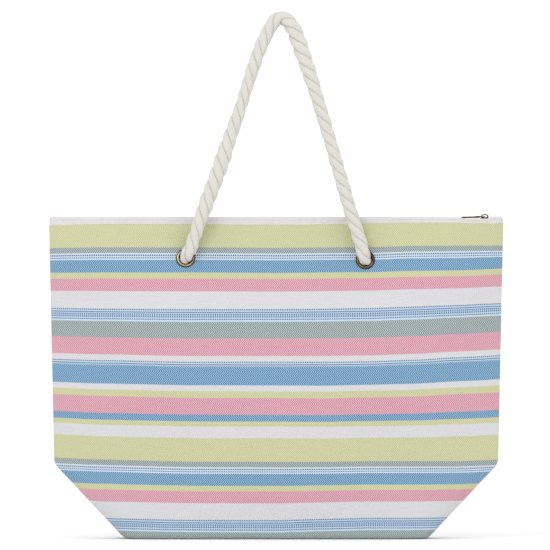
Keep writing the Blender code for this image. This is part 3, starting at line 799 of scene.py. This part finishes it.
def laid_rope(name, line, run, phase, radius, seed):
    """A left-laid rope of three strands along a line, as one closed skin with a groove between strands."""
    draw = np.random.default_rng(seed)
    tangents, normals, sides = frames_along(line, (1, 0, 0))
    half_angle = math.pi / 3
    turn = np.linspace(-half_angle, half_angle, STRAND_POINTS, endpoint=False) + half_angle / STRAND_POINTS
    outer = STRAND_OFFSET * np.cos(turn) + np.sqrt(STRAND**2 - (STRAND_OFFSET * np.sin(turn)) ** 2)
    outer -= GROOVE * np.exp(-(((half_angle - np.abs(turn)) / GROOVE_WIDTH) ** 2))
    angles = np.concatenate([turn + k * 2 * half_angle for k in range(3)])
    profile = np.tile(outer, 3)
    depth = (1 - (profile - profile.min()) / (profile.max() - profile.min())) ** 3
    strand_no = np.repeat(np.arange(3), STRAND_POINTS)
    around = np.tile(turn, 3) * 0.5 / half_angle + strand_no
    hills = draw.uniform(0, 2 * math.pi, (3, 3))
    points, lay = [], []
    for i, (at, s) in enumerate(zip(line, run)):
        waves_here = zip(SWELL_LENGTHS, hills[strand_no].T)
        swell = sum(np.sin(2 * math.pi * s / size + shift) for size, shift in waves_here)
        reach = radius(s) * (profile + SWELL * swell)
        a = angles - 2 * math.pi * s / LAY + phase
        out = np.cos(a)[:, None] * normals[i] + np.sin(a)[:, None] * sides[i]
        points.append(at + reach[:, None] * out)
        lay.append(np.stack([around, np.full(len(a), s), depth], -1))
    rows, columns = len(points), len(angles)
    faces = grid_faces(rows, columns, around=True)
    # both ends close in a low dome, so the skin has no hole
    domes, domes_lay = [], []
    for end, (row, out) in enumerate(((0, -1), (rows - 1, 1))):
        domes.append(line[row] + tangents[row] * out * END_DOME)
        domes_lay.append((0, run[row], 0.5))
        hub = rows * columns + end
        for j in range(columns):
            a, b = row * columns + j, row * columns + (j + 1) % columns
            faces.append((hub, b, a) if out < 0 else (hub, a, b))
    points, lay = np.vstack([*points, domes]), np.vstack([*lay, domes_lay])
    return new_object(name, points, faces, ROPE_LOOK, {"lay": lay}, sharp_deg=180)


def handle_line(side):
    """The middle of a handle's rope, from inside one eyelet over the top to inside the other."""
    sign = SIDES[side]
    top = max(z for _, z in HANDLE_ROUTE)
    out = abs(HANDLE_PIVOT.y)
    lean = (out - APEX_Y) / (top - HANDLE_PIVOT.z)
    arch = [Vector((x, sign * (out - lean * (z - HANDLE_PIVOT.z)), z)) for x, z in HANDLE_ROUTE]
    bends = []
    for end, toward in ENDS.items():
        centre, normal = eyelet_frame(side, end)
        bend = [
            centre + (far * normal + Vector((-toward * away, 0, up))) * MM
            for far, away, up in EYELET_BEND
        ]
        bend.append(Vector((centre.x - toward * BEND_END_IN, arch[0].y, BEND_END_Z)))
        bends.append(bend)
    return [*bends[0], *arch, *reversed(bends[1])]


def rope_handles():
    for side, sign in SIDES.items():
        line, run = smooth_line(handle_line(side), ROPE_STEP)

        def radius(s, length=run[-1], swell=ROPE_SWELL[side]):
            more = smooth_interp(s / length, *zip(*swell))
            return np.interp(min(s, length - s), NECK_AT, NECK_RADII) * more * MM

        name = f"rope_handle_{side}"
        obj = laid_rope(name, line, run, ROPE_PHASE[side], radius, SEED + 20 + sign)
        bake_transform(obj)
        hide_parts(f"handle_{side}")


def knot_line(side, end):
    """From the eyelet in and down, round an overhand knot, to a short tail."""
    centre, normal = eyelet_frame(side, end)
    sign = SIDES[side]
    low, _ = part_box(f"knot_{side}_{end}")
    middle = Vector((centre.x, sign * KNOT_CENTRE_Y, KNOT_CENTRE_Z))
    turns = []
    for t in np.linspace(KNOT_OPEN, 2 * math.pi - KNOT_OPEN, 22):
        r = (2 + math.cos(3 * t)) / 3
        curve = Vector((r * math.sin(2 * t), math.sin(3 * t), r * math.cos(2 * t)))
        turns.append(middle + curve * KNOT_HALF_SIZE)
    into = [centre - depth * normal for depth in KNOT_NECK]
    into.append(Vector((centre.x + KNOT_TURN[0], sign * KNOT_TURN[1], KNOT_TURN[2])))
    tail = [*TAIL, (TAIL_END_X, low.z + TAIL_END_LIFT)]
    tail = [(centre.x + x, sign * KNOT_CENTRE_Y, z) for x, z in tail]
    return [*into, *turns, *tail]


def knots():
    for side, sign in SIDES.items():
        for end in ENDS:
            line, run = smooth_line(knot_line(side, end), KNOT_STEP)

            def radius(s, length=run[-1]):
                """Drawn tight in the knot, and fuller in the eyelet and at the tail."""
                stations = (0, 12 * MM, 26 * MM, length - 14 * MM, length)
                return np.interp(s, stations, (7.2, 6.6, 5.2, 5.2, 6.6)) * MM

            name = f"rope_knot_{side}_{end}"
            obj = laid_rope(name, line, run, KNOT_PHASE, radius, SEED + 40 + 3 * sign)
            stands_in(obj, "bag", f"knot_{side}_{end}")


# Eyelets

# The ring's section, as (radius, height over the canvas, share of painted highlight over the patina), in mm
EYELET_SECTION = (
    (7.85, -1.5, 0.0), (7.8, 0.4, 0.0), (7.95, 1.1, 0.05), (8.4, 1.7, 0.2), (9.0, 2.0, 0.65), (9.7, 2.05, 1.0),
    (10.4, 1.9, 0.8), (11.0, 1.6, 0.35), (11.5, 1.3, 0.12), (11.9, 0.9, 0.03), (12.1, 0.6, 0.0),
    (12.0, 0.35, 0.0), (11.0, 0.3, 0.0), (8.8, 0.3, 0.0), (8.45, 0.2, 0.0), (8.4, -4.0, 0.0), (8.9, -4.3, 0.2),
    (9.4, -4.5, 0.3), (9.4, -4.9, 0.2), (8.6, -5.0, 0.2), (8.0, -4.7, 0.1), (7.85, -4.2, 0.0),
)  # fmt: skip
WASHER_SECTION = (
    (11.6, -3.25, 0.3), (11.6, -3.95, 0.2), (10.2, -4.1, 0.5), (8.9, -3.95, 0.2), (8.85, -3.3, 0.1),
    (10.2, -3.15, 0.3),
)  # fmt: skip
RING_STEPS = 72
RIM = 11  # further out than this, in mm, a ring's edge is uneven
HIGHLIGHT_SIDE = Vector((-0.6, 0, -0.8))  # the side of a ring that gets a painted highlight
# how strong each ring's painted highlight is
HIGHLIGHT_STRENGTH = {"left": 1.0, "right": 0.6}


def turned_ring(name, centre, normal, section, seed, highlight_strength):
    """A ring turned from a closed section, with the small unevenness of pressed metal and a painted highlight on
    one side.
    """
    shift = np.random.default_rng(seed).uniform(0, 2 * math.pi, 4)
    turn = normal.to_track_quat("Z", "Y").to_matrix()
    points, patina_and_highlight = [], []
    for a in np.linspace(0, 2 * math.pi, RING_STEPS, endpoint=False):
        out = Vector((math.cos(a), math.sin(a), 0))
        bright = 0.10 * math.sin(2 * a + shift[0]) + 0.08 * math.sin(5 * a + shift[1])
        # a painted highlight on one side of the ring
        bright += 0.3 * (turn @ out).dot(HIGHLIGHT_SIDE) - 0.15
        for r, h, shine in section:
            wobble = 0.05 * math.sin(3 * a + shift[2]) * (r > RIM)
            points.append(centre + turn @ (out * (r + wobble) + Vector((0, 0, h))) * MM)
            patina_and_highlight.append((min(max(shine * (1 + bright) * highlight_strength, 0), 1), 0, 0))
    count = len(section)
    faces = grid_faces(RING_STEPS, count, around=True, flip=True)
    last = (RING_STEPS - 1) * count
    faces += [(i, (i + 1) % count, last + (i + 1) % count, last + i) for i in range(count)]
    return new_object(name, points, faces, BRASS_LOOK, {"patina_and_highlight": patina_and_highlight}, sharp_deg=60)


def eyelets():
    for number, (side, end) in enumerate((side, end) for side in SIDES for end in ENDS):
        centre, normal = eyelet_frame(side, end)
        for node, section in (("eyelet", EYELET_SECTION), ("washer", WASHER_SECTION)):
            name = f"{node}_ring_{side}_{end}"
            obj = turned_ring(name, centre, normal, section, SEED + 60 + number, HIGHLIGHT_STRENGTH[end])
            stands_in(obj, "bag", f"{node}_{side}_{end}")


# The zip

TAPE = 0.45 * MM
TAPE_END_X = HEM_HALF_WIDTH + 0.3 * MM
TAPE_CORNER = 3.5 * MM
TAPE_INSET = 0.35 * MM  # from the hem's outside to the tape's
TAPE_JOIN_X = 0.263  # its points lie closer from here on
WELT_Z = HEM_Z + 8.2 * MM  # top of the fold beside the zip
WELT_RIPPLE = 0.16 * MM
CROWD = (0.232, 0.258)  # over this stretch the fold narrows towards each end
CLOSE = (COIL_HALF_LENGTH + 4.5 * MM, COIL_HALF_LENGTH + 9 * MM)  # and over this one the tapes come together
SHUT = 0.3 * MM  # from the middle to a tape where they meet
# The fold lies lower beside the slider, and higher just past it
DIP, DIP_START, DIP_END = 1.9 * MM, (0.226, 0.240), (0.2655, 0.2695)
HUMP, HUMP_START, HUMP_END = 0.7 * MM, (0.2660, 0.2705), (0.2795, 0.2850)
COIL_PITCH, COIL_WIRE, LOOP_POINTS = 1.5 * MM, 0.3 * MM, 9
COIL_INSET = 0.5 * MM  # from the CAD rod's ends
SLIDER_TOP_Z, SLIDER_PLATE = 0.4023, 1.2 * MM
CROWN_WIRE, CROWN_HALF_LENGTH = 0.8 * MM, 4.0 * MM
PULL_AXIS = next(Vector(j["pos_m"]) for j in frame["joints"] if j["name"] == "pull_flip")
PULL_DROOP = math.radians(2.0)
EYE_WIRE, EYE_HALF_WIDTH, EYE_LENGTH, EYE_CORNER = 0.6 * MM, 2.3 * MM, 6.1 * MM, 0.16
BAR_START, PULL_LENGTH, BAR_SIDES = 4.9 * MM, 30 * MM, 20


def hem_depth(x):
    """Half the hem's depth at a place along it."""
    power, bow = powers(HEM_Z)
    return half_depth(HEM_Z) * np.maximum(1 - np.abs(x / HEM_HALF_WIDTH) ** power, 0) ** bow


def tape_rows(sign):
    """A tape's rows: up inside the hem, over the fold that stands beside the zip, and down under the coil."""
    ends = np.linspace(TAPE_JOIN_X + 1 * MM, TAPE_END_X, 28)
    x = np.concatenate([-ends[::-1], np.linspace(1 * MM - TAPE_JOIN_X, TAPE_JOIN_X - 1 * MM, 174), ends])
    hem, edge = hem_depth(x), HEM_Z + hem_wave(x)
    crowd, close = ease(np.abs(x), *CROWD), ease(np.abs(x), *CLOSE)
    near_slider = ease(x, *DIP_START) * (1 - ease(x, *DIP_END))
    past_slider = ease(x, *HUMP_START) * (1 - ease(x, *HUMP_END))
    past = np.clip(np.abs(x) - (TAPE_END_X - TAPE_CORNER), 0, TAPE_CORNER)
    corner = TAPE_CORNER - np.sqrt(TAPE_CORNER**2 - past**2)
    ripple = WELT_RIPPLE * waves(x, x * 0, SEED + 70, 0.045)
    ridge = WELT_Z + ripple - DIP * near_slider + HUMP * past_slider - corner
    strip_z = COIL_Z - 1.25 * MM
    # how far from the middle the tape runs: in the hem, outside, on the crest, inside and under the coil
    inside = np.maximum(hem - 2.6 * MM, SHUT)
    outer = np.maximum(hem - TAPE_INSET, TAPE_INSET)
    crest = np.maximum(hem - (3.2 - 2.0 * crowd) * MM, SHUT) * (1 - close) + SHUT * close
    inner = np.maximum(hem - (5.2 - 3.0 * crowd) * MM, SHUT)
    inner = np.minimum(inner, 6.2 * MM) * (1 - close) + SHUT * close
    crease = np.minimum(inner, 5.6 * MM) * (1 - close) + SHUT * close
    under = 0.55 * MM * (1 - close) + 0.28 * MM * close
    high = ridge - edge
    pad = np.minimum(3.3 * MM, crease * 0.72 + under * 0.28)
    table = [
        (inside, HEM_Z - 12 * MM),
        (inside, HEM_Z - 5 * MM),
        (inside, edge - 1.2 * MM),
        (inside * 0.35 + outer * 0.65, edge + 0.25 * MM),
        (outer, edge - 0.15 * MM),
        (outer + 0.1 * MM, edge + 0.16 * high),
        (outer + 0.1 * MM, edge + 0.44 * high),
        (outer - 0.35 * MM, edge + 0.50 * high),
        (outer - 0.35 * MM, edge + 0.54 * high),
        (outer, edge + 0.59 * high),
        (outer * 0.75 + crest * 0.25, edge + 0.78 * high),
        (outer * 0.45 + crest * 0.55, edge + 0.93 * high),
        (crest, ridge),
        (crest * 0.5 + inner * 0.5, edge + 0.93 * high),
        (inner, edge + 0.74 * high),
        (inner * 0.6 + crease * 0.4, (edge + 0.74 * high) * 0.35 + 0.65 * (strip_z + 0.5 * MM)),
        (crease, strip_z + 0.55 * MM + 0.3 * high * close),
        (crease * 0.72 + under * 0.28, strip_z + 0.1 * MM + 0.25 * high * close),
        (pad, strip_z + 0.2 * high * close),
        (under, strip_z + 0.15 * high * close),
    ]
    rows = np.array([np.stack([x, sign * y, np.broadcast_to(z, x.shape)], -1) for y, z in table])
    rows[:3, :, 0] *= (TAPE_END_X - 3 * MM) / TAPE_END_X
    steps = np.linalg.norm(np.diff(rows, axis=0), axis=2)
    run = np.concatenate([[np.zeros_like(x)], np.cumsum(steps, axis=0)])
    place = np.stack([np.broadcast_to(x, run.shape), run, np.zeros_like(run)], -1)
    return rows, place


def zip_tapes():
    for side, sign in SIDES.items():
        rows, place = tape_rows(sign)
        faces = grid_faces(*rows.shape[:2], flip=sign > 0)
        cloth = {"cloth": place.reshape(-1, 3)}
        obj = new_object(f"zip_tape_cloth_{side}", rows.reshape(-1, 3), faces, TAPE_LOOK, cloth, 180)
        thickened(obj, TAPE, 60)
        stands_in(obj, "bag", f"zip_tape_{side}")


def caps(points, sides):
    """The two flat ends of a skin whose rows have that many points."""
    return [tuple(reversed(range(sides))), tuple(range(points - sides, points))]


def tube(points, radius, sides):
    """(points, faces) of a round tube along a line, for joining into a larger mesh."""
    line = np.asarray(points, float)
    _, normals, across = frames_along(line, (0, 0.3, 1))
    turn = np.linspace(0, 2 * math.pi, sides, endpoint=False)
    ring = np.cos(turn)[None, :, None] * normals[:, None] + np.sin(turn)[None, :, None] * across[:, None]
    skin = (line[:, None] + ring * radius).reshape(-1, 3)
    return skin, grid_faces(len(line), sides, around=True) + caps(len(skin), sides)


def coils():
    """Each side of the chain is one nylon thread wound into loops that almost meet the other side's."""
    for side, sign in SIDES.items():
        start = -COIL_HALF_LENGTH + COIL_INSET + (COIL_PITCH / 2 if sign > 0 else 0)
        loops = int((COIL_HALF_LENGTH - COIL_INSET - start) / COIL_PITCH)
        t = np.linspace(0, loops, loops * LOOP_POINTS + 1)
        angle = 2 * math.pi * t
        x = start + COIL_PITCH * (t + 0.12 * np.sin(angle))
        y = sign * (1.62 * MM + 1.0 * MM * np.cos(angle))
        z = COIL_Z - 0.05 * MM + 0.42 * MM * np.sin(angle) * sign
        points, faces = tube(np.stack([x, y, z], -1), COIL_WIRE, 6)
        obj = new_object(f"zip_coil_loops_{side}", points, faces, COIL_LOOK, sharp_deg=180)
        stands_in(obj, "bag", f"zip_coil_{side}")


def slab(outline, low, high, bevel):
    """(points, faces) of a flat plate with rounded edges: an outline in x and y between two heights."""
    away = outline - outline.mean(axis=0)
    away /= np.linalg.norm(away, axis=1)[:, None]
    rings = []
    for first, edge, inward in ((-90, low, 1), (0, high, -1)):
        for angle in np.radians(np.linspace(first, first + 90, 3)):
            z = edge + inward * bevel * (1 + inward * math.sin(angle))
            inset = bevel * (1 - math.cos(angle))
            rings.append(np.column_stack([outline - away * inset, np.full(len(outline), z)]))
    points = np.concatenate(rings)
    return points, grid_faces(len(rings), len(outline), around=True) + caps(len(points), len(outline))


def rounded(half_x, half_y, corner, taper=0.0):
    """An outline in x and y with round corners, anticlockwise; taper narrows its -x end."""
    points = []
    for sx, sy, first in ((1, 1, 0), (-1, 1, 90), (-1, -1, 180), (1, -1, 270)):
        for a in np.radians(np.linspace(first, first + 90, 5)):
            x = sx * (half_x - corner) + corner * math.cos(a)
            y = sy * (half_y - corner) + corner * math.sin(a)
            points.append((x, y * (1 - taper * (half_x - x) / (2 * half_x))))
    return np.array(points)


def joined(name, parts, patina_and_highlight):
    """One brass mesh from several closed skins. The given function gives each point's patina and painted
    highlight.
    """
    points, faces, count = [], [], 0
    for part_points, part_faces in parts:
        points.append(part_points)
        faces += [tuple(i + count for i in face) for face in part_faces]
        count += len(part_points)
    points = np.concatenate(points)
    shine = np.array([(patina_and_highlight(p), 0, 0) for p in points])
    return new_object(name, points, faces, BRASS_LOOK, {"patina_and_highlight": shine}, 45)


def zip_slider():
    """Two plates with rails between them, the web that joins them, and the crown's ring."""
    top, low = SLIDER_TOP_Z, SLIDER_LOW.z
    half, wide = (SLIDER_HIGH.x - SLIDER_LOW.x) / 2, (SLIDER_HIGH.y - SLIDER_LOW.y) / 2
    rail, rail_y = rounded(half - 1.6 * MM, 0.4 * MM, 0.3 * MM), wide - 0.75 * MM
    web = rounded(1.5 * MM, 0.24 * MM, 0.1 * MM) + np.array([half - 2.5 * MM, 0])
    # outline, lower face, upper face and bevel
    slabs = (
        (rounded(half, wide, 2.2 * MM, 0.22), top - SLIDER_PLATE, top, 0.45 * MM),
        (rounded(half, wide - 1.9 * MM, 1.2 * MM, 0.15), low, low + SLIDER_PLATE, 0.4 * MM),
        (rail + np.array([0.2 * MM, -rail_y]), top - 2.0 * MM, top - 0.5 * MM, 0.2 * MM),
        (rail + np.array([0.2 * MM, rail_y]), top - 2.0 * MM, top - 0.5 * MM, 0.2 * MM),
        (web, low + 0.6 * MM, top - 0.6 * MM, 0.05 * MM),
    )
    here = np.array([SLIDER_X, 0, 0])
    parts = [(points + here, faces) for points, faces in (slab(*row) for row in slabs)]
    ring_low, ring_high = top - 0.3 * MM, SLIDER_HIGH.z - CROWN_WIRE
    middle, half_height = (ring_low + ring_high) / 2, (ring_high - ring_low) / 2
    loop = [
        (SLIDER_X + CROWN_HALF_LENGTH * math.cos(a), 0, middle + half_height * math.sin(a))
        for a in np.linspace(-math.pi / 2, 1.5 * math.pi, 49)
    ]
    parts.append(tube(loop, CROWN_WIRE, 12))
    # painted highlight: the crown's ring above the top plate is brighter
    obj = joined("zip_slider_body", parts, lambda p: 0.32 + 0.3 * (p[2] > top + 2 * MM))
    stands_in(obj, "slider", "zip_slider")


def zip_pull():
    """A wire eye through the crown and a slim bar, fuller in its middle, with a painted highlight along its top.
    """
    wide, far = EYE_HALF_WIDTH, (-EYE_LENGTH, EYE_HALF_WIDTH * 0.8)
    corners = [np.array(corner) for corner in ((0, -wide), (0, wide), far, (far[0], -far[1]))]
    loop = []
    for k, corner in enumerate(corners):
        for t in np.linspace(0, 1, 6):
            before, after = EYE_CORNER * (1 - t) ** 2, EYE_CORNER * t * t
            at = corners[k - 1] * before + corners[(k + 1) % 4] * after + corner * (1 - before - after)
            loop.append((*at, 0))
    parts = [tube([*loop, loop[0]], EYE_WIRE, 10)]
    rings = []
    for s in np.linspace(BAR_START, PULL_LENGTH, 26):
        t = (s - BAR_START) / (PULL_LENGTH - BAR_START)
        end = math.sqrt(max(1 - ((t - 0.5) / 0.5) ** 8, 0.0)) * 0.9 + 0.1
        half_y, half_z = (1.9 - 0.5 * t) * MM * end, (1.3 - 0.35 * t) * MM * end
        for a in np.linspace(0, 2 * math.pi, BAR_SIDES, endpoint=False):
            y, z = (math.copysign(abs(v) ** 0.7, v) for v in (math.cos(a), math.sin(a)))
            rings.append((-s, half_y * y, half_z * z))
    faces = grid_faces(len(rings) // BAR_SIDES, BAR_SIDES, around=True) + caps(len(rings), BAR_SIDES)
    parts.append((rings, [tuple(reversed(f)) for f in faces]))
    turn = Matrix.Rotation(-PULL_DROOP, 3, "Y")
    placed = [(np.array([PULL_AXIS + turn @ Vector(p) for p in points]), faces) for points, faces in parts]

    def patina_and_highlight(p):
        """Painted highlight on top, along the bar's middle."""
        s = (PULL_AXIS.x - p[0]) / PULL_LENGTH
        along = ease(s, 0.3, 0.5) * (1 - ease(s, 0.75, 0.95))
        return 0.75 * float(along * ease(p[2], PULL_AXIS.z - 0.9 * MM, PULL_AXIS.z)) + 0.1

    stands_in(joined("zip_pull_bar", placed, patina_and_highlight), "pull", "zip_pull")


def zip_stops():
    """The CAD stops keep their shape and take the brass."""
    for name in ("zip_stop_closed", "zip_stop_open"):
        slots = frame["nodes"][name].data.materials
        slots.clear()
        slots.append(BRASS_LOOK)


# The studio

WORLD_LIGHT = 1.07
FLOOR_Z, FLOOR_HALF_SIZE = -0.3 * MM, 60.0
FLOOR_TONES = ((0.955, 0.955, 0.955), (0.965, 0.965, 0.965))
# (name, place, size, power), each aimed at the middle of the bag
LIGHTS = (("key", (-1.6, -3.0, 2.3), 1.6, 22), ("fill", (2.4, -2.4, 1.2), 2.4, 8))
LIGHTS_AIM = Vector((0, 0, 0.3))
CAMERA_DISTANCE = 12.0
SENSOR = 36
VIEW_WIDTH = 0.6911  # at the side seams
VIEW_CENTRE_X = -1.5 * MM
VIEW_CENTRE_Z = 0.3304


def area_light(name, place, size, power):
    light = bpy.data.lights.new(name, "AREA")
    light.shape, light.size, light.energy = "DISK", size, power
    obj = bpy.data.objects.new(name, light)
    obj.location = place
    obj.rotation_euler = (LIGHTS_AIM - Vector(place)).to_track_quat("-Z", "Y").to_euler()
    bpy.context.scene.collection.objects.link(obj)


def studio():
    scene = bpy.context.scene
    scene.view_settings.view_transform = "Standard"
    world = bpy.data.worlds.new("white_room")
    world.use_nodes = True
    world.node_tree.nodes["Background"].inputs["Color"].default_value = (1, 1, 1, 1)
    world.node_tree.nodes["Background"].inputs["Strength"].default_value = WORLD_LIGHT
    scene.world = world
    look = Look("pale_floor")
    grain = look.noise(look.place(), 3.0)
    far = FLOOR_HALF_SIZE
    corners = [(x, y, FLOOR_Z) for x, y in ((-far, -far), (far, -far), (far, far), (-far, far))]
    finish = look.finish(look.mix(grain, *FLOOR_TONES), 0.9, specular=0.0)
    floor = new_object("floor", corners, [(0, 1, 2, 3)], finish)
    for light in LIGHTS:
        area_light(*light)


def camera():
    """A long lens straight at the front, a little under half way up."""
    data = bpy.data.cameras.new("camera")
    data.sensor_width = SENSOR
    data.lens = SENSOR * CAMERA_DISTANCE / VIEW_WIDTH
    data.clip_end = 200
    obj = bpy.data.objects.new("camera", data)
    obj.location = (VIEW_CENTRE_X, -CAMERA_DISTANCE, VIEW_CENTRE_Z)
    obj.rotation_euler = (math.radians(90), 0, 0)
    bpy.context.scene.collection.objects.link(obj)
    bpy.context.scene.camera = obj


camera()
studio()
canvas = canvas_panels()
lining_panels()
rope_handles()
knots()
eyelets()
zip_tapes()
coils()
zip_slider()
zip_pull()
zip_stops()
